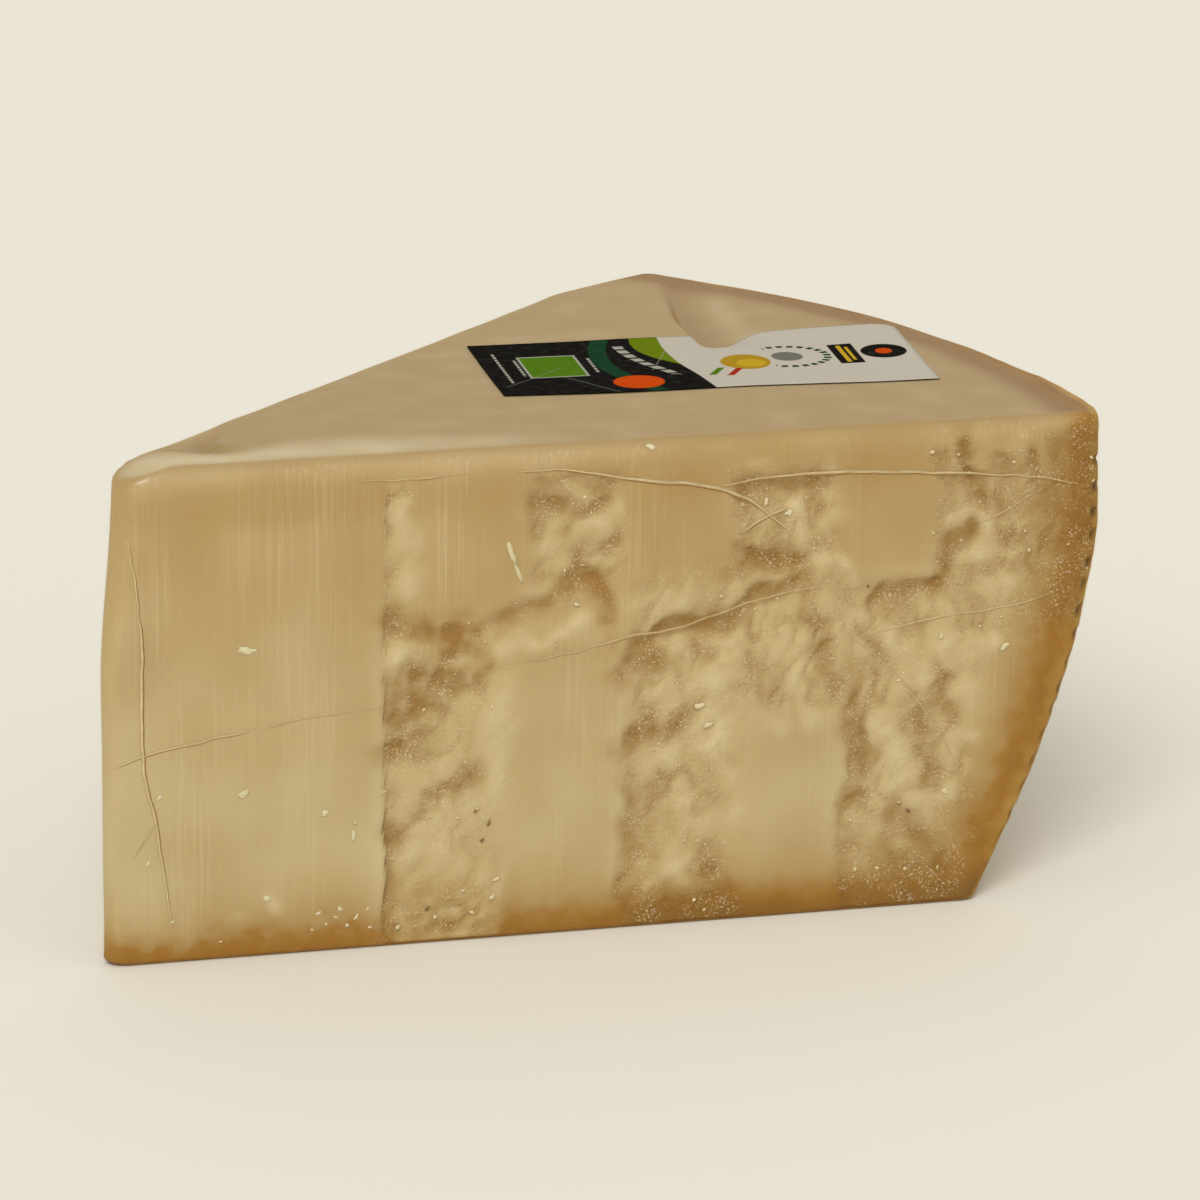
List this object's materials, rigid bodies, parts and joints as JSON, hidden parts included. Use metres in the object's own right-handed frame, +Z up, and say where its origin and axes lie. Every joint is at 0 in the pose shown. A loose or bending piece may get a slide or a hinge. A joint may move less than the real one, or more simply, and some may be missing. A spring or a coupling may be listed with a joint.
{
  "type": "wedge of hard cheese",
  "caption": "Large wedge of hard grana cheese with its rind, split and knife-cut faces, in tight clear film with a printed label on top.",
  "frame": {"origin": "middle of the bounding box on the flat underside of the wedge", "axes": "+X along the front cut face from the tip to the rind, +Y from the front cut face towards the back corner, +Z up"},
  "size_m": [0.2148, 0.1484, 0.108],
  "materials": {
    "cheese": "satin",
    "film": "gloss",
    "label": "satin"
  },
  "bodies": {
    "root": {"chunk": "cheese", "label": "label"}
  },
  "joints": []
}
